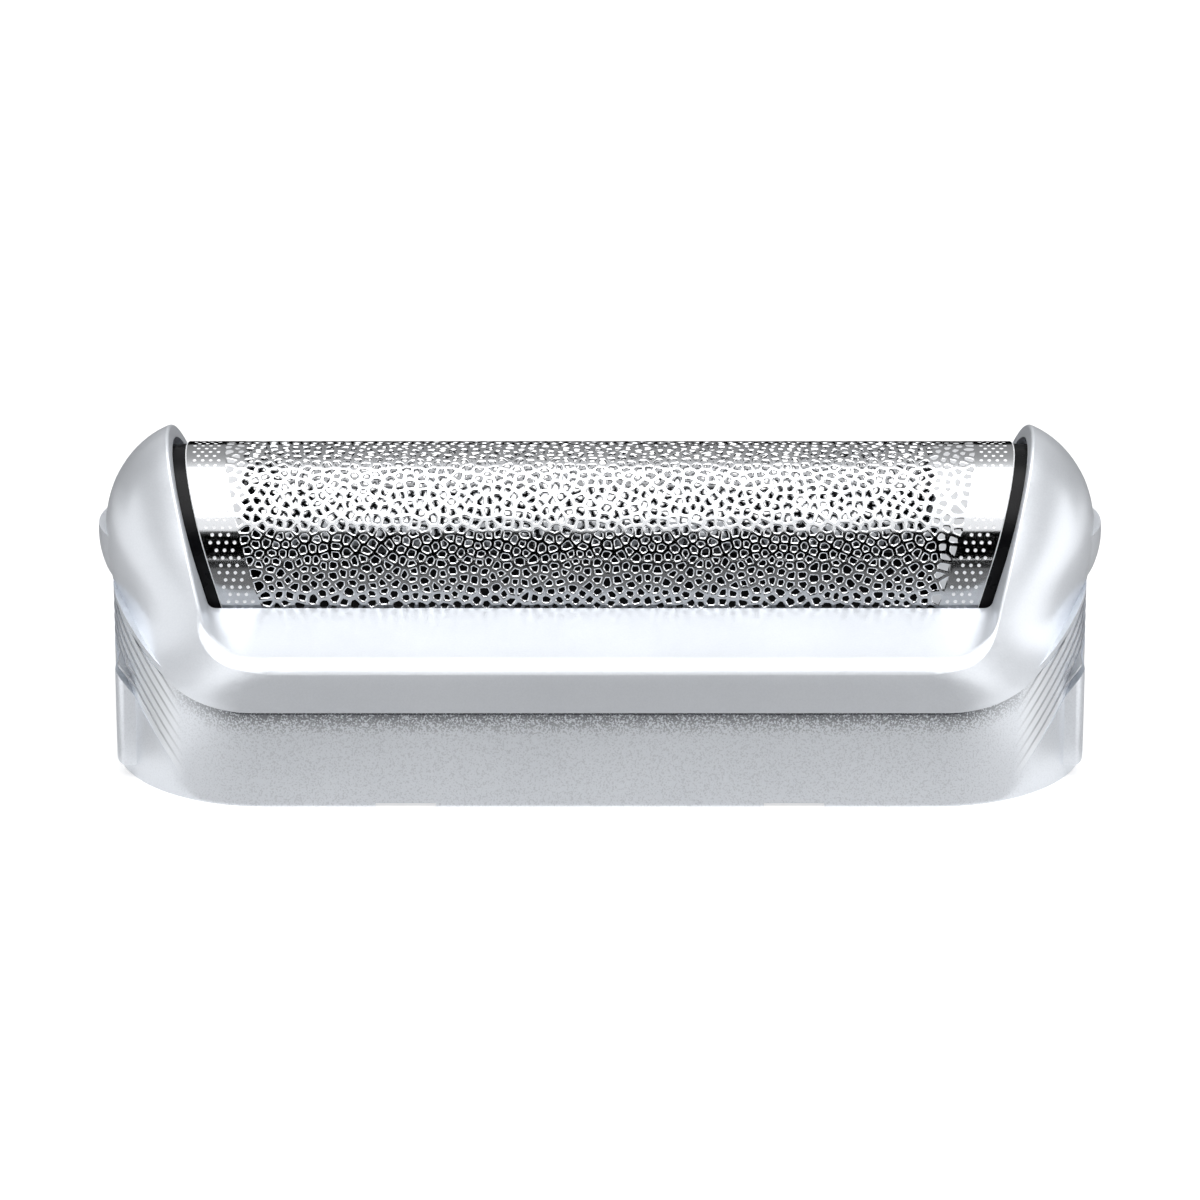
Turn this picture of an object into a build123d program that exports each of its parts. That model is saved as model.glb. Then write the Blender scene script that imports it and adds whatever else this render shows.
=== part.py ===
from build123d import *

import os
from math import acos, atan2, cos, pi, radians, sin, sqrt, tan

from OCP.BRepFilletAPI import BRepFilletAPI_MakeFillet

# Shaver foil head: a saddle-shaped frame that carries an arched, perforated cutting foil.
# X runs along the foil, Y from front to rear and Z up. The origin is the middle of the base.
# All sizes are in millimetres and all angles in degrees.

# Foil
foil_thickness = 0.1
foil_radius = 5.3
foil_stand = 2.3
foil_crest_length = 47.0
foil_foot_gap = 0.15

# Lean of the foil's ends and of the horns' inner faces, from the vertical
end_lean = 15.5

# Perforation of the foil
plain_end = 2.8
hole_size = 2.0
hole_web = 0.6
hole_variation = 0.16
field_margin = 0.3

# Skirt, the wall that slips over the shaver's neck
end_margin = 4.1
skirt_depth = 22.6
skirt_corner = 8.7
skirt_wall = 1.4

# Lip, the parting step between the skirt and the saddle
lip_step = 0.3
lip_height = 5.8
lip_flat_length = 39.0
lip_bend = 9.2
lip_turn = 44.0
seam_height = 0.2
seam_depth = 0.15

# Saddle: an upright band along front and rear, and a horn at each end
band_height = 2.4
band_lean = 12.0
crest_rise = 1.25
crest_margin = 1.0
nose_overhang = 0.55
nose_setback = 4.1
nose_drop = 6.1
end_roundness = 0.93

# Well, the open space between the horns, with the ledge as its floor
well_end_gap = 0.65
ledge_rise = 1.48
ledge_slope = 12.2
ledge_wall = 1.35
well_corner = 3.0
well_inner_corner = 0.5

# Rounding of the well's edge: wide along the ledge, fine round the horns
ledge_edge = 1.2
horn_edge = 0.15

# Slot that the foil stands up through
foil_gap = 0.25
slot_undercut = 1.0
horn_wall = 1.2

# Thumb boss on each nose
boss_radius = 5.2
boss_rise = 0.4
boss_drop = 0.1
boss_step = 0.45

# Pads on the skirt's ends, with the latch pockets behind them
pad_width = 14.6
pad_bottom = 0.8
pad_height = 6.2
pad_inset = 0.25
pad_edge = 0.5
pocket_width = 8.0
pocket_bottom = 1.6
pocket_height = 2.6
pocket_depth = 0.8

# Grip grooves on the four corners of the skirt
groove_count = 7
groove_pitch = 0.74
groove_lean = 54.0
groove_width = 0.36
groove_depth = 0.15
groove_fade = 31.0

# Notches in the rim under the front and rear walls
notch_spacing = 21.8
notch_length = 3.4
notch_depth = 0.2

# Foil carrier
shelf_rise = 0.3
shelf_width = 0.8
flange_thickness = 1.2
flange_clearance = 0.25
rail_thickness = 1.1
rail_height = 3.1
bow_thickness = 1.0
bow_inside = 1.8
bow_outside = 1.3
bow_clearance = 0.05

# Snap beads that hold the carrier's flange up against the frame's shelf
bead_length = 7.0
bead_spacing = 24.0
bead_rise = 0.45
bead_height = 1.1
bead_clearance = 0.05

# Retaining strips and the heat-formed lugs that hold them
strip_thickness = 1.0
strip_height = 1.5
strip_end_gap = 1.1
lug_count = 5
lug_end_margin = 2.5
lug_length = 1.8
lug_height = 0.7
lug_clearance = 0.06
head_margin = 0.3
head_height = 0.4
head_taper = 35.0

# Lengths that follow from the sizes above
skirt_length = foil_crest_length + 2 * end_margin
nose_length = skirt_length + 2 * nose_overhang
cavity_length = skirt_length - 2 * skirt_wall
cavity_depth = skirt_depth - 2 * skirt_wall
cavity_corner = skirt_corner - skirt_wall
slot_half_width = foil_radius + foil_gap
foil_inside = foil_radius - foil_thickness
band_half_depth = skirt_depth / 2 + lip_step - band_height * tan(radians(band_lean))

# Heights that follow from the sizes above
band_top = lip_height + band_height
shelf_height = lip_height + shelf_rise
ledge_height = band_top + ledge_rise
foil_axis = ledge_height + foil_stand
foil_crest = foil_axis + foil_radius
crest_height = foil_crest + crest_rise
crest_radius = foil_radius + crest_margin
crest_axis = crest_height - crest_radius
nose_height = crest_height - nose_drop
nose_radius = (nose_drop**2 + nose_setback**2) / (2 * nose_setback)

# The flank runs from the top of the band up to the crest arc and touches it
flank_reach = sqrt(band_half_depth**2 + (band_top - crest_axis) ** 2)
flank_lean = acos(crest_radius / flank_reach) + atan2(band_top - crest_axis, band_half_depth)


def foil_end(height):
    """Half length of the foil at a height: its ends lean outwards."""
    return foil_crest_length / 2 - (foil_crest - height) * tan(radians(end_lean))


def half_depth(height):
    """Half depth of the saddle: the band, the leaning flank, then the round crest."""
    if height < band_top:
        return band_half_depth + (band_top - height) * tan(radians(band_lean))
    if height < crest_axis + crest_radius * sin(flank_lean):
        return (crest_radius - (height - crest_axis) * sin(flank_lean)) / cos(flank_lean)
    return sqrt(crest_radius**2 - (height - crest_axis) ** 2)


def half_length(height):
    """Half length of the saddle: upright below, then the round nose."""
    upright = (skirt_length + lip_step) / 2
    reach = max(nose_radius**2 - (height - nose_height) ** 2, 0)
    nose = nose_length / 2 - nose_radius + sqrt(reach)
    return nose if height > nose_height else max(nose, upright)


def saddle_section(height, inset):
    """Level cut through the saddle, drawn in by the inset."""
    length = half_length(height) - inset
    depth = half_depth(height) - inset
    corner = min(end_roundness * depth, skirt_corner + lip_step - inset)
    with BuildSketch(Plane.XY.offset(height)) as section:
        RectangleRounded(2 * length, 2 * depth, corner)
    return section.sketch


def saddle_heights(bottom, top, count):
    """Heights of the saddle's sections, closer together towards the top."""
    return [bottom + (top - bottom) * sin(pi / 2 * step / count) for step in range(count + 1)]


def lip_region(lift):
    """Front view of the space above the lip curve, raised by the lift."""
    bend_x = lip_flat_length / 2 + lip_bend * sin(radians(lip_turn))
    bend_z = lip_height + lip_bend * (1 - cos(radians(lip_turn))) + lift
    run = skirt_length - bend_x
    with BuildSketch(Plane.XZ) as region:
        with BuildLine():
            flat = Line((0, lip_height + lift), (lip_flat_length / 2, lip_height + lift))
            bend = TangentArc(flat @ 1, (bend_x, bend_z), tangent=flat % 1)
            rise = Line(bend @ 1, (bend_x + run, bend_z + run * tan(radians(lip_turn))))
            Polyline(rise @ 1, (0, bend_z + run * tan(radians(lip_turn))), flat @ 0)
        make_face()
        mirror(about=Plane.YZ)
    return region.sketch


def leaning_outline(offset, bottom, top):
    """Corners, in front view, of a space whose ends lie an offset beyond the foil's ends."""
    low = foil_end(bottom) + offset
    high = foil_end(top) + offset
    return [(-low, bottom), (low, bottom), (high, top), (-high, top)]


def leaning_region(offset, bottom, top):
    """Front view of a space whose ends lean like the foil's, an offset beyond them."""
    with BuildSketch(Plane.XZ) as region:
        with BuildLine():
            Polyline(*leaning_outline(offset, bottom, top), close=True)
        make_face()
    return region.sketch


def arch_region(radius, bottom):
    """End view of the space under an arch round the foil's axis, with straight legs."""
    with BuildSketch(Plane.YZ) as region:
        with BuildLine():
            leg = Line((radius, bottom), (radius, foil_axis))
            arc = TangentArc(leg @ 1, (-radius, foil_axis), tangent=leg % 1)
            Polyline(arc @ 1, (-radius, bottom), leg @ 0)
        make_face()
    return region.sketch


def well_section(depth, floor, corner):
    """Cut through the well parallel to the front, at a depth before the middle."""
    with BuildSketch(Plane.XZ.offset(depth)) as section:
        with BuildLine():
            Polyline(*leaning_outline(well_end_gap, floor, 2 * crest_height), close=True)
        make_face()
        fillet(section.vertices().group_by(Axis.Y)[0], corner)
    return section.sketch


def round_well_edge(saddle, start):
    """Rounds the closed edge of the well, from one of its pieces on: the radius narrows at the corners."""
    rounding = BRepFilletAPI_MakeFillet(saddle.wrapped)
    rounding.Add(start.wrapped)
    for piece in range(1, rounding.NbEdges(1) + 1):
        for joint in Edge(rounding.Edge(1, piece)).vertices():
            on_ledge = joint.Z < band_top + well_corner / 4
            rounding.SetRadius(ledge_edge if on_ledge else horn_edge, 1, joint.wrapped)
    return Compound(rounding.Shape()).solid()


# Skirt up to just above the lip, where the saddle covers it
with BuildPart() as skirt:
    with BuildSketch():
        RectangleRounded(skirt_length, skirt_depth, skirt_corner)
    extrude(amount=crest_height)
    extrude(lip_region(lip_step), amount=skirt_depth, both=True, mode=Mode.SUBTRACT)

# Thumb boss, a low dome with a step at its top
with BuildPart() as boss:
    with Locations((nose_length / 2 + boss_rise - boss_radius, 0, nose_height - boss_drop)):
        Sphere(boss_radius)
    split(bisect_by=Plane.XY.offset(nose_height + boss_step), keep=Keep.BOTTOM)
    extrude(lip_region(0), amount=skirt_depth, both=True, mode=Mode.INTERSECT)

# Pad on the skirt's end: a flat block with rounded edges, proud of the round corners beside it
with BuildPart() as pad:
    pad_root = skirt_length / 2 - skirt_corner / 2
    with BuildSketch(Plane.XY.offset(pad_bottom)):
        with Locations((pad_root, 0)):
            Rectangle(skirt_corner / 2 - pad_inset, pad_width, align=(Align.MIN, Align.CENTER))
    extrude(amount=pad_height)
    fillet(pad.faces().sort_by(Axis.X)[-1].edges(), pad_edge)

# Well between the horns: its floor slopes down to front and rear from the slot
with BuildPart() as well:
    well_front = skirt_depth / 2 + 2 * lip_step
    front_floor = ledge_height - (well_front - slot_half_width) * tan(radians(ledge_slope))
    middle = well_section(slot_half_width, ledge_height, well_inner_corner)
    loft([middle, well_section(well_front, front_floor, well_corner)], ruled=True)
    extrude(middle, amount=slot_half_width, dir=(0, 1, 0))
    mirror(about=Plane.XZ)

# Slot round the foil, which runs a little way into the horns as a tunnel
with BuildPart() as slot:
    extrude(arch_region(slot_half_width, 0), amount=skirt_length, both=True)
    tunnel = leaning_region(well_end_gap + slot_undercut, 0, crest_height)
    extrude(tunnel, amount=skirt_depth, both=True, mode=Mode.INTERSECT)

# Cores that hollow the horns from below
with BuildPart() as horn_cores:
    core_top = nose_height + horn_wall
    loft([saddle_section(z, skirt_wall + lip_step) for z in saddle_heights(lip_height, core_top, 4)])
    between = leaning_region(well_end_gap + slot_undercut + horn_wall, 0, crest_height)
    extrude(between, amount=skirt_depth, both=True, mode=Mode.SUBTRACT)

# Hollow under the ledge, for the foil's feet and the strips that hold them
with BuildPart() as ledge_core:
    core_half_width = cavity_depth / 2 - shelf_width
    core_edge = ledge_height - ledge_wall - (core_half_width - slot_half_width) * tan(radians(ledge_slope))
    with BuildSketch(Plane.YZ):
        with BuildLine():
            Polyline(
                (0, lip_height),
                (core_half_width, lip_height),
                (core_half_width, core_edge),
                (slot_half_width, ledge_height - ledge_wall),
                (0, ledge_height - ledge_wall),
                close=True,
            )
        make_face()
        mirror(about=Plane.YZ)
    extrude(amount=foil_end(band_top), both=True)

# Seam, a fine groove in the skirt right under the lip
with BuildPart() as seam:
    with BuildSketch():
        Rectangle(2 * skirt_length, 2 * skirt_depth)
        RectangleRounded(
            skirt_length - 2 * seam_depth,
            skirt_depth - 2 * seam_depth,
            skirt_corner - seam_depth,
            mode=Mode.SUBTRACT,
        )
    extrude(amount=crest_height)
    extrude(lip_region(-seam_height), amount=skirt_depth, both=True, mode=Mode.INTERSECT)
    extrude(lip_region(0), amount=skirt_depth, both=True, mode=Mode.SUBTRACT)

# Grip grooves on one corner: slanted strips, cut down to the skirt's own outline moved inwards
# and forwards, so that they run out towards the front
with BuildPart() as grooves:
    fade = radians(groove_fade)
    floor_x = skirt_length / 2 - skirt_corner - groove_depth
    floor_y = skirt_depth / 2 - skirt_corner + groove_depth * tan(fade)
    foot_x = skirt_length / 2 - skirt_corner * (1 - sin(fade))
    with BuildSketch(Plane.XZ):
        for step in range(groove_count):
            with Locations((foot_x, lip_height - step * groove_pitch)):
                Rectangle(4 * skirt_corner, groove_width, groove_lean)
    extrude(amount=skirt_depth)
    with BuildSketch():
        with Locations((floor_x, -floor_y)):
            Circle(skirt_corner)
            Rectangle(skirt_length, 2 * skirt_depth, align=(Align.MAX, Align.CENTER))
            Rectangle(2 * skirt_corner, floor_y, align=(Align.CENTER, Align.MIN))
    extrude(amount=crest_height, both=True, mode=Mode.SUBTRACT)
    extrude(lip_region(0), amount=skirt_depth, both=True, mode=Mode.SUBTRACT)

# Frame: one moulding
with BuildPart() as frame:
    loft([saddle_section(z, 0) for z in saddle_heights(lip_height - lip_step, crest_height - 0.03, 9)])
    add(well.part, mode=Mode.SUBTRACT)
    ledge_front = frame.edges().sort_by_distance((0, -band_half_depth, band_top))[0]
    add(round_well_edge(frame.part.solid(), ledge_front), mode=Mode.REPLACE)
    extrude(lip_region(0), amount=skirt_depth, both=True, mode=Mode.INTERSECT)
    add(skirt.part)
    add(boss.part)
    mirror(boss.part, about=Plane.YZ)
    add(pad.part)
    mirror(pad.part, about=Plane.YZ)
    add(seam.part, mode=Mode.SUBTRACT)
    add(well.part, mode=Mode.SUBTRACT)

    # Inside: the neck's socket, the slot and the cores
    with BuildSketch():
        RectangleRounded(cavity_length, cavity_depth, cavity_corner)
    extrude(amount=shelf_height, mode=Mode.SUBTRACT)
    add(slot.part, mode=Mode.SUBTRACT)
    add(horn_cores.part, mode=Mode.SUBTRACT)
    add(ledge_core.part, mode=Mode.SUBTRACT)

    # Latch pockets behind the pads, and notches in the rim
    with BuildSketch(Plane.XY.offset(pocket_bottom)):
        Rectangle(cavity_length + 2 * pocket_depth, pocket_width)
    extrude(amount=pocket_height, mode=Mode.SUBTRACT)
    with BuildSketch():
        with GridLocations(notch_spacing, 1, 2, 1):
            Rectangle(notch_length, 2 * skirt_depth)
    extrude(amount=notch_depth, mode=Mode.SUBTRACT)

    # Snap beads on the front and rear walls, under the carrier's flange
    bead_top = shelf_height - flange_thickness - bead_clearance
    with BuildSketch(Plane.YZ.offset((bead_spacing - bead_length) / 2)):
        with BuildLine():
            Polyline(
                (cavity_depth / 2 + bead_rise, bead_top),
                (cavity_depth / 2 - bead_rise, bead_top),
                (cavity_depth / 2, bead_top - bead_height),
                (cavity_depth / 2 + bead_rise, bead_top - bead_height),
                close=True,
            )
        make_face()
        mirror(about=Plane.YZ)
    beads = extrude(amount=bead_length)
    mirror(beads, about=Plane.YZ)

    # Grip grooves on all four corners
    for corner in (grooves.part, mirror(grooves.part, about=Plane.YZ, mode=Mode.PRIVATE)):
        add(corner, mode=Mode.SUBTRACT)
        mirror(corner, about=Plane.XZ, mode=Mode.SUBTRACT)

# Strips and lugs follow the length of the foil's legs
lug_middle = shelf_height + strip_height / 2
strip_length = 2 * (foil_end(lug_middle) - strip_end_gap)
lug_spacing = (strip_length - 2 * lug_end_margin) / (lug_count - 1)

# Foil: an arched sheet with leaning ends
hole_pitch = hole_size + hole_web
row_pitch = hole_pitch * sin(radians(60))
row_radius = foil_radius - foil_thickness / 2
quarter_arc = row_radius * pi / 2
field_reach = quarter_arc + foil_stand - field_margin - hole_size / 2
row_count = int(field_reach / row_pitch)

with BuildPart() as foil:
    foil_foot = shelf_height + foil_foot_gap
    extrude(arch_region(foil_radius, foil_foot), amount=skirt_length, both=True)
    extrude(arch_region(foil_inside, 0), amount=skirt_length, both=True, mode=Mode.SUBTRACT)
    sheet = leaning_region(0, foil_foot, crest_height)
    extrude(sheet, amount=skirt_depth, both=True, mode=Mode.INTERSECT)

    # Rows of six-sided holes that follow the arch and run on down its legs
    for row in range(-row_count, row_count + 1):
        along = min(max(row * row_pitch, -quarter_arc), quarter_arc)
        below = max(abs(row * row_pitch) - quarter_arc, 0)
        turn = along / row_radius
        middle = (0, row_radius * sin(turn), foil_axis + row_radius * cos(turn) - below)
        field_half_length = foil_end(middle[2]) - plain_end - hole_size / 2
        column_count = int(field_half_length / hole_pitch - 0.5 * (row % 2))
        with BuildSketch(Plane(middle, x_dir=(1, 0, 0), z_dir=(0, sin(turn), cos(turn)))):
            for column in range(-column_count - row % 2, column_count + 1):
                shrink = 1 - hole_variation * ((3 * row + 5 * column) % 4) / 3
                with Locations(((column + 0.5 * (row % 2)) * hole_pitch, 0)):
                    RegularPolygon(shrink * hole_size / 2, 6)
        extrude(amount=hole_size / 2, both=True, mode=Mode.SUBTRACT)

    # Slots for the lugs in both legs
    with BuildSketch(Plane.XZ):
        with Locations((0, lug_middle)):
            with GridLocations(lug_spacing, 1, lug_count, 1):
                Rectangle(lug_length + 2 * lug_clearance, lug_height + 2 * lug_clearance)
    extrude(amount=2 * foil_radius, both=True, mode=Mode.SUBTRACT)

# Bows that carry the foil's ends from inside
with BuildPart() as bows:
    bow_radius = foil_inside - bow_clearance
    extrude(arch_region(bow_radius, shelf_height), amount=skirt_length, both=True)
    extrude(arch_region(bow_radius - bow_thickness, 0), amount=skirt_length, both=True, mode=Mode.SUBTRACT)
    outer = leaning_region(bow_outside, 0, crest_height)
    extrude(outer, amount=skirt_depth, both=True, mode=Mode.INTERSECT)
    inner = leaning_region(-bow_inside, 0, crest_height)
    extrude(inner, amount=skirt_depth, both=True, mode=Mode.SUBTRACT)

# Lugs with flared heads, along the front
with BuildPart() as lugs:
    with BuildSketch(Plane.XZ.offset(foil_inside)):
        with Locations((0, lug_middle)):
            with GridLocations(lug_spacing, 1, lug_count, 1):
                Rectangle(lug_length, lug_height)
    extrude(amount=foil_thickness + strip_thickness)
    with BuildSketch(Plane.XZ.offset(foil_radius + strip_thickness)):
        with Locations((0, lug_middle)):
            with GridLocations(lug_spacing, 1, lug_count, 1):
                Rectangle(lug_length + 2 * head_margin, lug_height + 2 * head_margin)
    extrude(amount=head_height, taper=head_taper)

# Foil carrier: flange, rails, bows and lugs in one moulding
with BuildPart() as foil_carrier:
    with BuildSketch(Plane.XY.offset(shelf_height - flange_thickness)):
        RectangleRounded(
            cavity_length - 2 * flange_clearance,
            cavity_depth - 2 * flange_clearance,
            cavity_corner - flange_clearance,
        )
        Rectangle(
            2 * (foil_end(shelf_height) - bow_inside), 2 * (foil_inside - rail_thickness), mode=Mode.SUBTRACT
        )
    extrude(amount=flange_thickness)
    with BuildSketch(Plane.XY.offset(shelf_height)):
        with GridLocations(1, 2 * foil_inside - rail_thickness, 1, 2):
            Rectangle(2 * foil_end(shelf_height), rail_thickness)
    extrude(amount=rail_height)
    add(bows.part)
    add(lugs.part)
    mirror(lugs.part, about=Plane.XZ)

# Retaining strips, which clamp the foil's legs against the rails
with BuildPart() as retaining_strip_front:
    with BuildSketch(Plane.XZ.offset(foil_radius)):
        with Locations((0, lug_middle)):
            Rectangle(strip_length, strip_height)
            with GridLocations(lug_spacing, 1, lug_count, 1):
                Rectangle(
                    lug_length + 2 * lug_clearance, lug_height + 2 * lug_clearance, mode=Mode.SUBTRACT
                )
    extrude(amount=strip_thickness)

with BuildPart() as retaining_strip_rear:
    mirror(retaining_strip_front.part, about=Plane.XZ)

# One file for each piece
frame.part.label = "frame"
foil.part.label = "foil"
foil_carrier.part.label = "foil_carrier"
retaining_strip_front.part.label = "retaining_strip_front"
retaining_strip_rear.part.label = "retaining_strip_rear"

os.makedirs("parts", exist_ok=True)
export_step(frame.part, "parts/frame.step")
export_step(foil.part, "parts/foil.step")
export_step(foil_carrier.part, "parts/foil_carrier.step")
export_step(retaining_strip_front.part, "parts/retaining_strip_front.step")
export_step(retaining_strip_rear.part, "parts/retaining_strip_rear.step")
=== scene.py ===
import math
import random

import bpy
import numpy as np
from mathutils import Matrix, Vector


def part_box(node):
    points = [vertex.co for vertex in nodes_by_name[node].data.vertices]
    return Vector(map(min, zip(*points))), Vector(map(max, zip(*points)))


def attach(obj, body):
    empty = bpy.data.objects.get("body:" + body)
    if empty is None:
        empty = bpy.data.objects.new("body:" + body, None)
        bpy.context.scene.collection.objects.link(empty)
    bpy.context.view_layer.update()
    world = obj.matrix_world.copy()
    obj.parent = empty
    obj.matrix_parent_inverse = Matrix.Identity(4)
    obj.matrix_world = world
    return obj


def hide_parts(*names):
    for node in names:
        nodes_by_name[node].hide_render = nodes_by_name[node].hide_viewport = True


# Shaver foil head: the frame, carrier and strips are the CAD pieces with their own finishes, and the
# foil is rebuilt with its fine perforation. The foil's sizes are in millimetres until its mesh is
# written, and all other sizes are in metres.

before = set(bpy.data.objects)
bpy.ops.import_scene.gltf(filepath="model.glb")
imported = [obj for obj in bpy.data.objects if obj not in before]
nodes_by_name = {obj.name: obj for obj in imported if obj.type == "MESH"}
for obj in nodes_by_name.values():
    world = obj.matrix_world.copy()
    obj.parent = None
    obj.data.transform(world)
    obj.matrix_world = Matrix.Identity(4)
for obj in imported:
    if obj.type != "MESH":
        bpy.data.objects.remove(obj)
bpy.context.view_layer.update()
MM = 0.001

# Foil sizes, from the CAD foil that this sheet replaces
foil_low, foil_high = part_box("foil")
radius = foil_high.y / MM
crest = foil_high.z / MM
foot = foil_low.z / MM
crest_half_length = foil_high.x / MM
end_lean = math.tan(math.radians(15.5))
axis = crest - radius
quarter = radius * math.pi / 2
leg = axis - foot
reach = quarter + leg

# Field of cells round middles that are scattered at random
cell_spacing = 0.47
cell_tries = 160000
cell_seed = 11
cell_directions = 7
cell_least_turn = 0.32
cell_limit = 3
neighbour_reach = 2
neighbour_squares = 4
field_leg = 2.95
field_reach = quarter + field_leg
field_border = 0.3
slope_step = 0.05

# One cell: a hole with a flat web and a rounded rim, or a blind recess near the foil's ends
web_flat = 0.036
edge_round = 0.086
web_half = web_flat + edge_round
rim_drop = 0.014
edge_drop = 0.07
least_opening = 0.05
corner_sharpness = 7.0
blind_right = 18.9
blind_left = -20.05
blind_depth = 0.03

# Plain ends with rows of dimples and rolled edges, and plain feet
plain_end = 2.15
dot_pitch = 0.455
dot_row = 0.44
dot_columns = 4
dot_edge = 0.52
dot_radius = 0.11
dot_directions = 8
dot_least_turn = 0.2
dot_slope = 0.75
dot_slope_drop = 0.014
dot_drop = 0.017
end_roll = 0.07
end_drop = 0.05
foot_pieces = 40

# Places of the foil's finishes in its list of materials, after the bright one
matte_finish = 1
blank_finish = 2


def height_at(along):
    """Height of the point of the foil's outside that lies a distance along the arch from its crest."""
    if abs(along) < quarter:
        return axis + radius * math.cos(along / radius)
    return axis - (abs(along) - quarter)


def end_at(along):
    """Half length of the foil there: its ends lean outwards."""
    return crest_half_length - (crest - height_at(along)) * end_lean


def on_foil(x, along, lift):
    """Point of the bent sheet, lifted off its outside, in metres."""
    turn = max(-quarter, min(quarter, along)) / radius
    below = max(abs(along) - quarter, 0)
    y = (radius + lift) * math.sin(turn)
    z = axis + (radius + lift) * math.cos(turn) - below
    return (x * MM, y * MM, z * MM)


def sheet_normal(along):
    """Direction straight off the sheet's outside."""
    turn = max(-quarter, min(quarter, along)) / radius
    return (0, math.sin(turn), math.cos(turn))


def clip(polygon, normal, distance):
    """Part of a convex polygon on the near side of a line."""
    kept = []
    count = len(polygon)
    for i in range(count):
        a = polygon[i]
        b = polygon[(i + 1) % count]
        side_a = a[0] * normal[0] + a[1] * normal[1] - distance
        side_b = b[0] * normal[0] + b[1] * normal[1] - distance
        if side_a <= 0:
            kept.append(a)
        if side_a * side_b < 0:
            t = side_a / (side_a - side_b)
            kept.append((a[0] + t * (b[0] - a[0]), a[1] + t * (b[1] - a[1])))
    return kept


def square_of(x, along):
    """Column and row of a point in the grid that finds a cell's neighbours."""
    return math.floor(x / cell_spacing), math.floor(along / cell_spacing)


def neighbours(grid, x, along, squares):
    """Cell middles in the squares round a point, as many squares away as given."""
    column, row = square_of(x, along)
    around = range(-squares, squares + 1)
    return [p for i in around for j in around for p in grid.get((column + i, row + j), [])]


def scatter():
    """Cell middles, spread at random with a least distance between them."""
    dice = random.Random(cell_seed)
    grid = {}
    middles = []
    for attempt in range(cell_tries):
        along = dice.uniform(-field_reach + field_border, field_reach - field_border)
        limit = end_at(along) - plain_end - field_border
        x = dice.uniform(-limit, limit)
        near = neighbours(grid, x, along, 1)
        if all((p[0] - x) ** 2 + (p[1] - along) ** 2 > cell_spacing * cell_spacing for p in near):
            grid.setdefault(square_of(x, along), []).append((x, along))
            middles.append((x, along))
    return middles, grid


def cell_lines(middle, grid):
    """Lines round one cell, as normal and distance from the cell's middle, and the cell's corners."""
    x, along = middle
    lines = []
    for p in neighbours(grid, x, along, neighbour_squares):
        dx = p[0] - x
        dy = p[1] - along
        gap = math.hypot(dx, dy)
        if 0 < gap < neighbour_reach:
            lines.append(((dx / gap, dy / gap), gap / 2))
    lines.append(((0, 1), field_reach - along))
    lines.append(((0, -1), field_reach + along))
    slope = (end_at(along + slope_step) - end_at(along - slope_step)) / (2 * slope_step)
    tilt = math.hypot(1, slope)
    edge = end_at(along) - plain_end
    lines.append(((1 / tilt, -slope / tilt), (edge - x) / tilt))
    lines.append(((-1 / tilt, -slope / tilt), (edge + x) / tilt))
    lines.sort(key=lambda line: line[1])
    corners = [(a * cell_limit, b * cell_limit) for a, b in ((-1, -1), (1, -1), (1, 1), (-1, 1))]
    used = []
    for normal, distance in lines:
        if distance > max(math.hypot(*c) for c in corners):
            break
        cut = clip(corners, normal, distance)
        if cut != corners:
            used.append((normal, distance))
            corners = cut
    return used, corners


class Sheet:
    """Vertices and faces of the foil, gathered cell by cell."""

    def __init__(self):
        self.points = []
        self.normals = []
        self.faces = []
        self.finishes = {}
        self.creases = set()

    def point(self, x, along, lift):
        """One vertex; only those on the sheet's outside get its own normal."""
        self.points.append(on_foil(x, along, lift))
        self.normals.append(sheet_normal(along) if lift == 0 else None)

    def ring(self, middle, angles, reaches, lift):
        """Closed ring of vertices round a middle."""
        first = len(self.points)
        for angle, r in zip(angles, reaches):
            self.point(middle[0] + r * math.cos(angle), middle[1] + r * math.sin(angle), lift)
        return first

    def band(self, outer, inner, count):
        """Faces between two rings."""
        for i in range(count):
            j = (i + 1) % count
            self.faces.append((outer + i, outer + j, inner + j, inner + i))

    def fan(self, ring, count, middle, lift):
        """Faces that close a ring towards its middle."""
        tip = len(self.points)
        self.point(middle[0], middle[1], lift)
        for i in range(count):
            self.faces.append((ring + i, ring + (i + 1) % count, tip))

    def mark(self, first, finish):
        """Gives the faces from the first one on another finish than the bright sheet."""
        for index in range(first, len(self.faces)):
            self.finishes[index] = finish

    def crease(self, ring, count):
        """Makes a ring's edges sharp."""
        for i in range(count):
            a = ring + i
            b = ring + (i + 1) % count
            self.creases.add((min(a, b), max(a, b)))

    def patch(self, corners, lifts=(0, 0, 0, 0)):
        """One face with four corners."""
        first = len(self.points)
        for (x, along), lift in zip(corners, lifts):
            self.point(x, along, lift)
        self.faces.append((first, first + 1, first + 2, first + 3))


def directions(corners, count, least_turn):
    """Angles round a cell: its corners, and even ones that keep clear of the corners."""
    even = [2 * math.pi * i / count for i in range(count)]
    exact = [math.atan2(c[1], c[0]) % (2 * math.pi) for c in corners]
    kept = [a for a in even if min(abs(a - e) for e in exact) > least_turn]
    return np.array(sorted(kept + exact))


def facing(lines, angles):
    """How squarely each direction meets each line, and the lines' distances from the middle."""
    normals = np.array([line[0] for line in lines])
    gaps = np.array([line[1] for line in lines])
    rays = np.stack([np.cos(angles), np.sin(angles)], axis=1)
    return rays @ normals.T, gaps


def reach_to_lines(lines, angles):
    """Distance from a cell's middle to its outline in each direction."""
    parallel = 1e-6
    turned, gaps = facing(lines, angles)
    steps = np.where(turned > parallel, gaps / np.maximum(turned, parallel), np.inf)
    return steps.min(axis=1)


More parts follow.
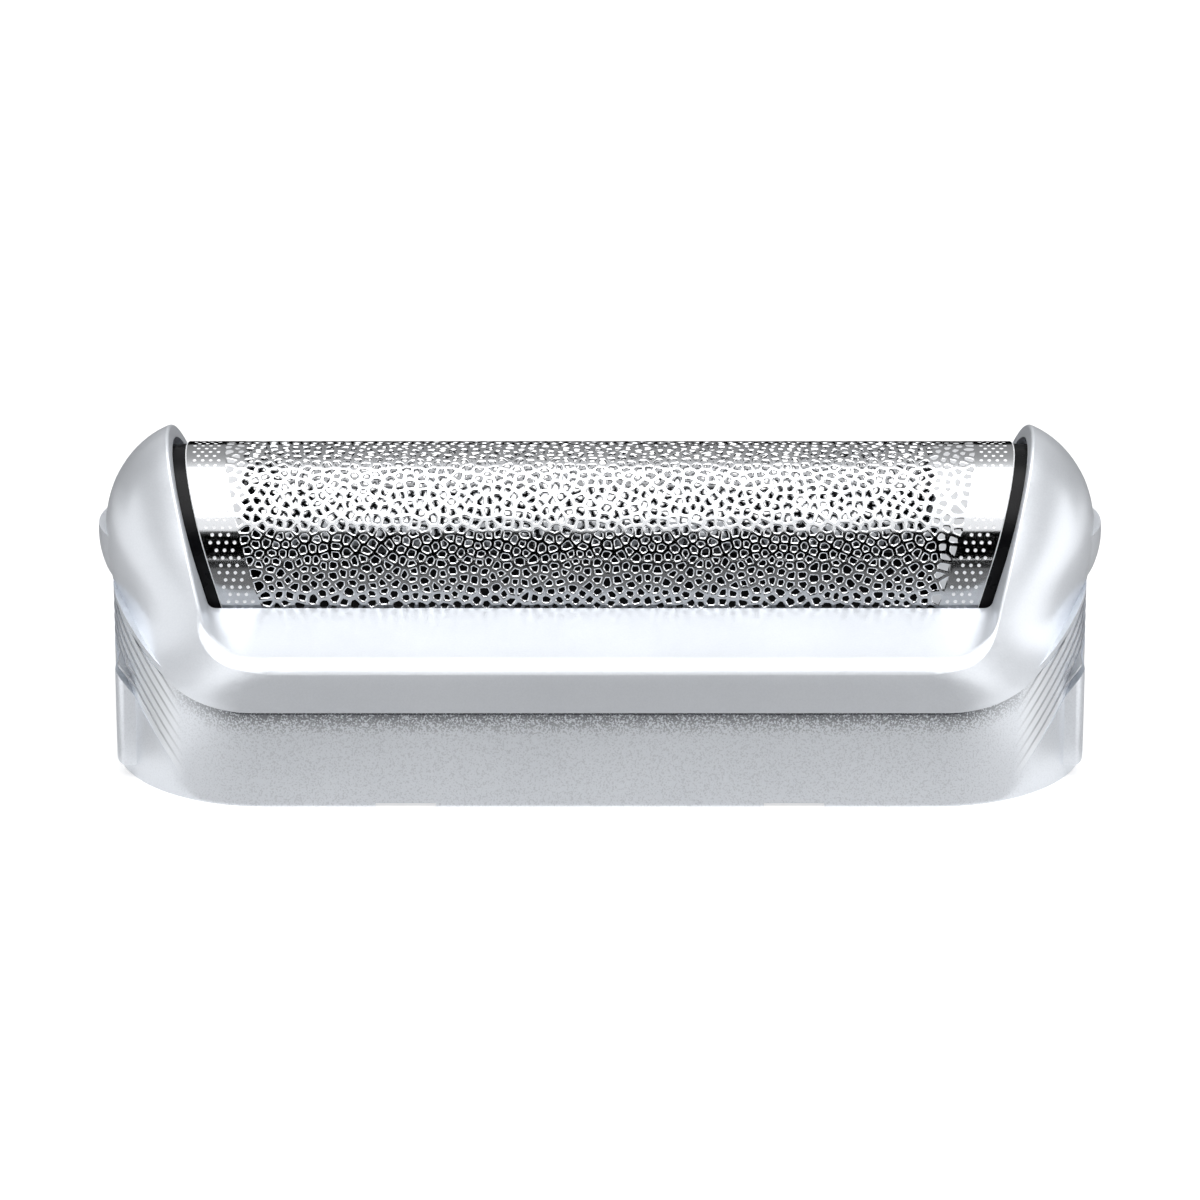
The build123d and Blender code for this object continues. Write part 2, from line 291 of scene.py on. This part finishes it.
def rounded_reach(lines, angles, inset):
    """The same outline drawn in by the inset, with round corners."""
    turned, gaps = facing(lines, angles)
    shares = np.maximum(turned, 0) / np.maximum(gaps - inset, least_opening)
    return (shares**corner_sharpness).sum(axis=1) ** (-1 / corner_sharpness)


def add_cell(sheet, middle, lines, corners, blind):
    """One hole with its rounded rim, or a blind recess of the same outline."""
    angles = directions(corners, cell_directions, cell_least_turn)
    count = len(angles)

    def inset_ring(inset, lift):
        return sheet.ring(middle, angles, rounded_reach(lines, angles, inset), lift)

    outline = sheet.ring(middle, angles, reach_to_lines(lines, angles), 0)
    shoulder = inset_ring(web_flat, 0)
    sheet.band(outline, shoulder, count)
    if blind:
        floor = inset_ring(web_half, -blind_depth)
        sheet.band(shoulder, floor, count)
        sheet.crease(floor, count)
        first = len(sheet.faces)
        sheet.fan(floor, count, middle, -blind_depth)
        sheet.mark(first, blank_finish)
        return
    rim = inset_ring(web_flat + edge_round / 2, -rim_drop)
    edge = inset_ring(web_half, -edge_drop)
    sheet.band(shoulder, rim, count)
    sheet.band(rim, edge, count)


def side_lines(corners):
    """Lines along the sides of an outline round the middle, as normal and distance from it."""
    lines = []
    count = len(corners)
    for i in range(count):
        a = corners[i]
        b = corners[(i + 1) % count]
        length = math.hypot(b[0] - a[0], b[1] - a[1])
        normal = ((b[1] - a[1]) / length, (a[0] - b[0]) / length)
        gap = normal[0] * a[0] + normal[1] * a[1]
        if gap < 0:
            normal = (-normal[0], -normal[1])
            gap = -gap
        lines.append((normal, gap))
    return lines


def add_dot(sheet, outline, middle):
    """One dimple in its own patch of the plain end."""
    corners = [(c[0] - middle[0], c[1] - middle[1]) for c in outline]
    angles = directions(corners, dot_directions, dot_least_turn)
    count = len(angles)
    outer = sheet.ring(middle, angles, reach_to_lines(side_lines(corners), angles), 0)
    lip = sheet.ring(middle, angles, [dot_radius] * count, 0)
    slope = sheet.ring(middle, angles, [dot_slope * dot_radius] * count, -dot_slope_drop)
    sheet.band(outer, lip, count)
    sheet.crease(lip, count)
    first = len(sheet.faces)
    sheet.band(lip, slope, count)
    sheet.fan(slope, count, middle, -dot_drop)
    sheet.mark(first, matte_finish)


def add_dotted_end(sheet, side):
    """Plain end of the foil with its rows of fine dimples, which follow the leaning end."""
    rows = round(2 * reach / dot_row)
    row_height = 2 * reach / rows
    rolled = (-end_drop, 0, 0, -end_drop)

    def place(inward, along):
        return (side * (end_at(along) - inward), along)

    def quad(start, stop, low, high):
        corners = [place(start, low), place(stop, low), place(stop, high), place(start, high)]
        return corners if side < 0 else corners[::-1]

    for row in range(rows):
        low = -reach + row * row_height
        high = low + row_height
        odd = row % 2
        columns = dot_columns - odd
        first_dot = dot_edge + 0.5 * dot_pitch * odd
        borders = [first_dot + dot_pitch * (i - 0.5) for i in range(columns + 1)]
        first = len(sheet.faces)
        sheet.patch(quad(0, end_roll, low, high), rolled)
        sheet.mark(first, matte_finish)
        sheet.patch(quad(end_roll, borders[0], low, high))
        sheet.patch(quad(borders[-1], plain_end, low, high))
        for start, stop in zip(borders, borders[1:]):
            middle = place((start + stop) / 2, (low + high) / 2)
            add_dot(sheet, quad(start, stop, low, high), middle)


def add_leg_foot(sheet, side):
    """Plain foot of the foil below the field, under the ledge."""
    start = side * field_reach
    stop = side * reach
    start_half = end_at(start) - plain_end
    stop_half = end_at(stop) - plain_end
    for i in range(foot_pieces):
        left = 2 * i / foot_pieces - 1
        right = 2 * (i + 1) / foot_pieces - 1
        corners = [
            (start_half * left, start),
            (start_half * right, start),
            (stop_half * right, stop),
            (stop_half * left, stop),
        ]
        sheet.patch(corners if side < 0 else corners[::-1])


def shade_foil(mesh, sheet):
    """Finishes, sharp edges and normals of the foil's mesh."""
    for polygon in mesh.polygons:
        polygon.use_smooth = True
    for index, finish in sheet.finishes.items():
        mesh.polygons[index].material_index = finish
    for edge in mesh.edges:
        a, b = edge.vertices
        edge.use_edge_sharp = (min(a, b), max(a, b)) in sheet.creases
    # Shading follows the bent sheet itself, so that reflections run on smoothly from cell to cell
    normals = [tuple(corner.vector) for corner in mesh.corner_normals]
    for polygon in mesh.polygons:
        if polygon.index not in sheet.finishes:
            for loop in polygon.loop_indices:
                exact = sheet.normals[mesh.loops[loop].vertex_index]
                if exact:
                    normals[loop] = exact
    mesh.normals_split_custom_set(normals)


def build_foil():
    """The whole sheet as one piece."""
    sheet = Sheet()
    middles, grid = scatter()
    for middle in middles:
        lines, corners = cell_lines(middle, grid)
        blind = middle[0] > blind_right or middle[0] < blind_left
        add_cell(sheet, middle, lines, corners, blind)
    for side in (-1, 1):
        add_dotted_end(sheet, side)
        add_leg_foot(sheet, side)
    mesh = bpy.data.meshes.new("foil_sheet")
    mesh.from_pydata(sheet.points, [], sheet.faces)
    mesh.update()
    shade_foil(mesh, sheet)
    piece = bpy.data.objects.new("foil_sheet", mesh)
    bpy.context.scene.collection.objects.link(piece)
    return piece


# Materials

white = (1, 1, 1, 1)
black = (0, 0, 0, 1)

# Range that most values of a noise lie in
noise_range = (0.3, 0.7)

# Scales that draw the nickel's marks out along the foil
drawing_scales = (0.08, 1, 1)

# Lip line of the frame in front view: level, then an arc, then a straight rise
lip_level = 0.0058
lip_flat = 0.0195
lip_bend = 0.0092
lip_turn = math.radians(44)

# Grip grooves of the frame's corners in front view, as the CAD frame has them
groove_lean = math.radians(54)
groove_pitch = 0.00074
groove_count = 7
groove_start = 0.02338

# Painted highlight on the grooves' floors and painted shade line on each rib: the length they fade in
# over, and the groove's half width and the edges of a rib's grey line as shares of the pitch
painted_light_run_in = 0.0012
groove_half = 0.4
rib_shade_edges = (0.06, 0.2)
rib_shade_strength = 0.6

# Grain of the skirt, fainter below the lip and towards the ends, with painted shade under the lip's
# overhang: right under the lip the pits are drawn denser and darker
lip_shade_reach = 0.0016
lip_shade_extra = 0.2
grain_range = (0.53, 0.64)
grain_least = 0.2
grain_end_range = (0.0205, 0.0245)
grain_end_share = 0.3
flake_height = 0.2

# Emission of the floor where it is looked at
floor_glow = 0.5


class Shading:
    """Node tree of a material or of the room, with a short call for each kind of node."""

    def __init__(self, tree):
        self.nodes = tree.nodes
        self.links = tree.links

    def link(self, value, slot):
        self.links.new(value, slot)

    def place(self, space):
        """Place of a point, in the object's own metres or as a share of its box."""
        return self.nodes.new("ShaderNodeTexCoord").outputs[space]

    def split(self, place):
        """The three parts of a place."""
        node = self.nodes.new("ShaderNodeSeparateXYZ")
        self.link(place, node.inputs["Vector"])
        return node.outputs

    def scale(self, place, scales):
        """A place with its own scale along each axis."""
        node = self.nodes.new("ShaderNodeMapping")
        node.inputs["Scale"].default_value = scales
        self.link(place, node.inputs["Vector"])
        return node.outputs["Vector"]

    def noise(self, place, scale, detail):
        node = self.nodes.new("ShaderNodeTexNoise")
        node.inputs["Scale"].default_value = scale
        node.inputs["Detail"].default_value = detail
        self.link(place, node.inputs["Vector"])
        return node.outputs["Fac"]

    def stretch(self, value, source, target):
        """A value stretched from one range to another."""
        node = self.nodes.new("ShaderNodeMapRange")
        node.inputs["From Min"].default_value = source[0]
        node.inputs["From Max"].default_value = source[1]
        node.inputs["To Min"].default_value = target[0]
        node.inputs["To Max"].default_value = target[1]
        self.link(value, node.inputs["Value"])
        return node.outputs["Result"]

    def step(self, operation, a, b=0):
        """One step of arithmetic with values or plain numbers."""
        node = self.nodes.new("ShaderNodeMath")
        node.operation = operation
        for slot, value in zip(node.inputs, (a, b)):
            if isinstance(value, (int, float)):
                slot.default_value = value
            else:
                self.link(value, slot)
        return node.outputs["Value"]

    def ramp(self, value, low, high):
        """Colour that runs from one to another over the range of a noise."""
        node = self.nodes.new("ShaderNodeValToRGB")
        start, stop = node.color_ramp.elements
        start.position = noise_range[0]
        start.color = (*low, 1)
        stop.position = noise_range[1]
        stop.color = (*high, 1)
        self.link(value, node.inputs["Fac"])
        return node.outputs["Color"]

    def mix(self, factor, base, tint):
        """A base colour that turns into a tint where the factor is high."""
        node = self.nodes.new("ShaderNodeMix")
        node.data_type = "RGBA"
        node.inputs["B"].default_value = (*tint, 1)
        self.link(base, node.inputs["A"])
        self.link(factor, node.inputs["Factor"])
        return node.outputs["Result"]

    def bump(self, height, distance, strength=1):
        """Normal of a fine relief."""
        node = self.nodes.new("ShaderNodeBump")
        node.inputs["Distance"].default_value = distance
        node.inputs["Strength"].default_value = strength
        self.link(height, node.inputs["Height"])
        return node.outputs["Normal"]

    def looked_at(self):
        """One for the camera's own rays, reflections and clear pieces, and zero for scattered light."""
        path = self.nodes.new("ShaderNodeLightPath").outputs
        direct = self.step("MAXIMUM", path["Is Camera Ray"], path["Is Glossy Ray"])
        return self.step("MAXIMUM", direct, path["Is Transmission Ray"])


def new_material(name):
    """A material with its shading and the inputs of its surface."""
    material = bpy.data.materials.new(name)
    material.use_nodes = True
    tree = material.node_tree
    return material, Shading(tree), tree.nodes["Principled BSDF"].inputs


def lip_height(shading, across):
    """Height of the lip over a distance across from the middle."""
    step = shading.step
    past = step("MAXIMUM", step("SUBTRACT", across, lip_flat), 0)
    bent = step("MINIMUM", past, lip_bend * math.sin(lip_turn))
    drop = step("SQRT", step("SUBTRACT", lip_bend**2, step("MULTIPLY", bent, bent)))
    straight = step("MULTIPLY", step("SUBTRACT", past, bent), math.tan(lip_turn))
    return step("ADD", step("SUBTRACT", lip_level + lip_bend, drop), straight)


def groove_painted_light(shading, across, height, below):
    """Factors for the painted highlight on the grip grooves' floors and the painted shade line on each
    rib.
    """
    step = shading.step
    climb = step("MULTIPLY", step("SUBTRACT", across, groove_start), math.tan(groove_lean))
    order = step("DIVIDE", step("SUBTRACT", step("ADD", climb, lip_level), height), groove_pitch)
    last = groove_count - 1
    past_first = step("GREATER_THAN", order, -groove_half)
    before_last = step("LESS_THAN", order, last + groove_half)
    grooved = step("MULTIPLY", past_first, before_last)
    grooved = step("MULTIPLY", grooved, step("GREATER_THAN", below, 0))
    run_in = shading.stretch(across, (groove_start, groove_start + painted_light_run_in), (0, 1))
    # Painted highlight on the grooves' floors, fading in from their start
    floor_highlight = step("MULTIPLY", grooved, run_in)
    between = step("MULTIPLY", step("GREATER_THAN", order, 0), step("LESS_THAN", order, last))
    off_rib = step("ABSOLUTE", step("SUBTRACT", step("FRACT", order), 0.5))
    # Painted shade line along each rib between two grooves
    line = shading.stretch(off_rib, rib_shade_edges, (rib_shade_strength, 0))
    rib_shade = step("MULTIPLY", step("MULTIPLY", line, between), floor_highlight)
    return floor_highlight, rib_shade


def skirt_pits_and_lip_shade(shading, place, across, below):
    """Factor for the dark pits of the skirt's spark-eroded grain, with painted shade under the lip."""
    step = shading.step
    grain = shading.noise(place, scale=10500, detail=1)
    # Painted shade under the lip's overhang: the grain is drawn denser and darker right under the lip
    near = shading.stretch(below, (0, lip_shade_reach), (1, 0))
    grain_and_lip_shade = step("ADD", grain, step("MULTIPLY", near, lip_shade_extra))
    pits_and_lip_shade = shading.stretch(grain_and_lip_shade, grain_range, (0, 1))
    pit_and_shade_depth = step("ADD", step("MULTIPLY", near, 1 - grain_least), grain_least)
    pit_and_shade_depth = step("MULTIPLY", pit_and_shade_depth, step("GREATER_THAN", below, 0))
    ends = shading.stretch(across, grain_end_range, (1, grain_end_share))
    return step("MULTIPLY", pits_and_lip_shade, step("MULTIPLY", pit_and_shade_depth, ends))


def silver_paint():
    """Satin silver paint with fine flakes, a skirt grain, painted shade under the lip and painted light
    and shade on the grip grooves.
    """
    material, shading, surface = new_material("satin_silver")
    step = shading.step
    place = shading.place("Object")
    parts = shading.split(place)
    across = step("ABSOLUTE", parts["X"])
    below = step("SUBTRACT", lip_height(shading, across), parts["Z"])
    flakes = shading.noise(place, scale=9000, detail=2)
    clouds = shading.noise(place, scale=160, detail=3)
    pits_and_lip_shade = skirt_pits_and_lip_shade(shading, place, across, below)
    floor_highlight, rib_shade = groove_painted_light(shading, across, parts["Z"], below)
    mixed = step("MULTIPLY", step("ADD", clouds, flakes), 0.5)
    colour = shading.ramp(mixed, low=(0.755, 0.785, 0.83), high=(0.82, 0.85, 0.895))
    # Dark pits of the grain, with painted shade under the lip
    colour = shading.mix(pits_and_lip_shade, colour, tint=(0.16, 0.165, 0.18))
    # Painted highlight on the grooves' floors
    colour = shading.mix(floor_highlight, colour, tint=(0.94, 0.965, 1.0))
    # Painted shade line on each rib
    colour = shading.mix(rib_shade, colour, tint=(0.3, 0.31, 0.33))
    shading.link(colour, surface["Base Color"])
    shading.link(shading.stretch(flakes, noise_range, (0.29, 0.39)), surface["Roughness"])
    surface["Metallic"].default_value = 0.48
    relief = step("SUBTRACT", step("MULTIPLY", flakes, flake_height), pits_and_lip_shade)
    shading.link(shading.bump(relief, distance=0.00002), surface["Normal"])
    return material


def nickel(name, low, high, roughness, metallic):
    """Electroformed nickel with faint drawing marks along the sheet."""
    material, shading, surface = new_material(name)
    place = shading.place("Object")
    marks = shading.noise(shading.scale(place, drawing_scales), scale=6000, detail=2)
    haze = shading.noise(place, scale=300, detail=2)
    shading.link(shading.ramp(haze, low, high), surface["Base Color"])
    shading.link(shading.stretch(marks, noise_range, roughness), surface["Roughness"])
    surface["Metallic"].default_value = metallic
    return material


def black_plastic():
    """Black moulded plastic with a faint sheen."""
    material, shading, surface = new_material("black_moulding")
    place = shading.place("Object")
    clouds = shading.noise(place, scale=700, detail=3)
    grain = shading.noise(place, scale=5000, detail=2)
    colour = shading.ramp(clouds, low=(0.004, 0.004, 0.005), high=(0.009, 0.009, 0.01))
    shading.link(colour, surface["Base Color"])
    shading.link(shading.stretch(clouds, noise_range, (0.22, 0.36)), surface["Roughness"])
    surface["Specular IOR Level"].default_value = 0.14
    shading.link(shading.bump(grain, distance=0.00001, strength=0.3), surface["Normal"])
    return material


def floor_material():
    """Plain white floor, lifted a little where the camera or a reflection looks at it."""
    material, shading, surface = new_material("floor_white")
    surface["Base Color"].default_value = (0.62, 0.62, 0.62, 1)
    surface["Roughness"].default_value = 0.9
    surface["Emission Color"].default_value = white
    glow = shading.step("MULTIPLY", shading.looked_at(), floor_glow)
    shading.link(glow, surface["Emission Strength"])
    return material


def card_material(name, greys, axis_name):
    """Card that only reflections see, grey from one edge to the other along an axis."""
    material, shading, surface = new_material(name)
    surface["Base Color"].default_value = black
    surface["Specular IOR Level"].default_value = 0
    surface["Emission Color"].default_value = white
    share = shading.split(shading.place("Generated"))[axis_name]
    shading.link(shading.stretch(share, (0, 1), greys), surface["Emission Strength"])
    return material


def paint(piece, *materials):
    # Emptying the list also undoes the finishes of single faces, so a new piece is left alone
    if piece.data.materials:
        piece.data.materials.clear()
    for material in materials:
        piece.data.materials.append(material)


# Pieces

paint(nodes_by_name["frame"], silver_paint())
black_moulding = black_plastic()
for name in ("foil_carrier", "retaining_strip_front", "retaining_strip_rear"):
    paint(nodes_by_name[name], black_moulding)

foil_sheet = build_foil()
smooth = (0.08, 0.15)
rough = (0.55, 0.7)
bright_nickel = nickel("foil_nickel", (0.79, 0.805, 0.83), (0.86, 0.875, 0.90), smooth, metallic=1)
matte_nickel = nickel("foil_nickel_matte", (0.9, 0.91, 0.93), (0.95, 0.955, 0.97), rough, metallic=0.2)
blank_nickel = nickel("foil_nickel_blank", (0.56, 0.57, 0.59), (0.62, 0.63, 0.65), rough, metallic=0.2)
paint(foil_sheet, bright_nickel, matte_nickel, blank_nickel)
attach(foil_sheet, "root")
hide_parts("foil")

# Stage: floor, and cards that only reflections see

floor_half = 3
card_lift = 0.0001
table_half = 0.03
table_front = -0.075
table_change = -0.038
table_rear = -0.0105
back_half = 0.25
back_y = 0.17
side_x = 0.12
side_floor_inner = 0.0295


def flat_piece(name, corners, material):
    mesh = bpy.data.meshes.new(name)
    mesh.from_pydata(corners, [], [(0, 1, 2, 3)])
    piece = bpy.data.objects.new(name, mesh)
    bpy.context.scene.collection.objects.link(piece)
    paint(piece, material)
    return piece


def lying_corners(sides, depths, z):
    """Corners of a level piece between two sides and two depths."""
    left, right = sides
    front, rear = depths
    return [(left, front, z), (right, front, z), (right, rear, z), (left, rear, z)]


def card(name, corners, greys, axis_name):
    piece = flat_piece(name, corners, card_material(name + "_grey", greys, axis_name))
    piece.visible_camera = False
    piece.visible_diffuse = False
    piece.visible_shadow = False
    piece.visible_transmission = False


def upright_card(name, half, y, heights, greys):
    """Card across the view, graded upwards."""
    bottom, top = heights
    card(name, [(-half, y, bottom), (half, y, bottom), (half, y, top), (-half, y, top)], greys, "Z")


def lying_card(name, sides, depths, greys):
    """Card on the floor, graded from front to rear."""
    card(name, lying_corners(sides, depths, card_lift), greys, "Y")


def side_card(name, x, depths, heights, grey):
    """Card of one grey that stands at a side."""
    front, rear = depths
    bottom, top = heights
    corners = [(x, front, bottom), (x, rear, bottom), (x, rear, top), (x, front, top)]
    card(name, corners, (grey, grey), "Z")


floor_span = (-floor_half, floor_half)
table_span = (-table_half, table_half)
flat_piece("floor", lying_corners(floor_span, floor_span, 0), floor_material())
upright_card("front_card", half=0.05, y=table_front, heights=(0.001, 0.047), greys=(0, 0))
lying_card("dark_table_card", table_span, (table_front, table_change), greys=(0.02, 0.02))
lying_card("table_card", table_span, (table_change, table_rear), greys=(0.06, 0.66))
lying_card("rear_table_card", (-side_x, side_x), (0.02, back_y), greys=(0, 0))
upright_card("back_card", back_half, back_y, heights=(0, 0.05), greys=(0, 0))
upright_card("back_grey_card", back_half, back_y, heights=(0.05, 0.22), greys=(0.25, 0.4))
upright_card("back_pale_card", back_half, back_y, heights=(0.22, 0.45), greys=(0.4, 1))
for side, label in ((-1, "left"), (1, "right")):
    x = side * side_x
    beside = sorted((x, side * side_floor_inner))
    lying_card("side_floor_card_" + label, beside, depths=(-0.011, 0.1), greys=(0.4, 0))
    side_card("side_card_" + label, x, depths=(-0.1, 0.03), heights=(0.055, 0.16), grey=0.15)
    side_card("rear_side_card_" + label, x, depths=(0.03, 0.13), heights=(0.02, 0.15), grey=0)

# Light: an even white room, one large soft lamp overhead and a weak one at each side

room_light = 0.52
lamp_target = (0, 0, 0.01)
world = bpy.data.worlds.new("room")
bpy.context.scene.world = world
world.use_nodes = True
room = Shading(world.node_tree)
background = world.node_tree.nodes["Background"].inputs
background["Color"].default_value = white
room_glow = room.step("MULTIPLY", room.looked_at(), 1 - room_light)
room.link(room.step("ADD", room_glow, room_light), background["Strength"])


def turn_to(piece, target):
    """Points a lamp or the camera at a place."""
    piece.rotation_mode = "QUATERNION"
    piece.rotation_quaternion = (Vector(target) - piece.location).to_track_quat("-Z", "Y")


def softbox(name, size, energy, location):
    """Square lamp that faces the object."""
    lamp = bpy.data.lights.new(name, "AREA")
    lamp.size = size
    lamp.energy = energy
    piece = bpy.data.objects.new(name, lamp)
    piece.location = location
    turn_to(piece, lamp_target)
    bpy.context.scene.collection.objects.link(piece)


softbox("top_lamp", size=0.6, energy=2.15, location=(0, -0.1, 0.45))
softbox("left_lamp", size=0.3, energy=0.02, location=(-0.35, -0.02, 0.1))
softbox("right_lamp", size=0.3, energy=0.2, location=(0.35, -0.06, 0.1))

# Camera at the photo's viewing angle

camera_place = (0, -0.37087, 0.15884)
camera_target = (0, 0, 0.00792)
lens = bpy.data.cameras.new("camera")
lens.sensor_width = 36
lens.lens = 209.9
camera = bpy.data.objects.new("camera", lens)
camera.location = camera_place
turn_to(camera, camera_target)
bpy.context.scene.collection.objects.link(camera)
bpy.context.scene.camera = camera
bpy.context.scene.view_settings.view_transform = "Standard"
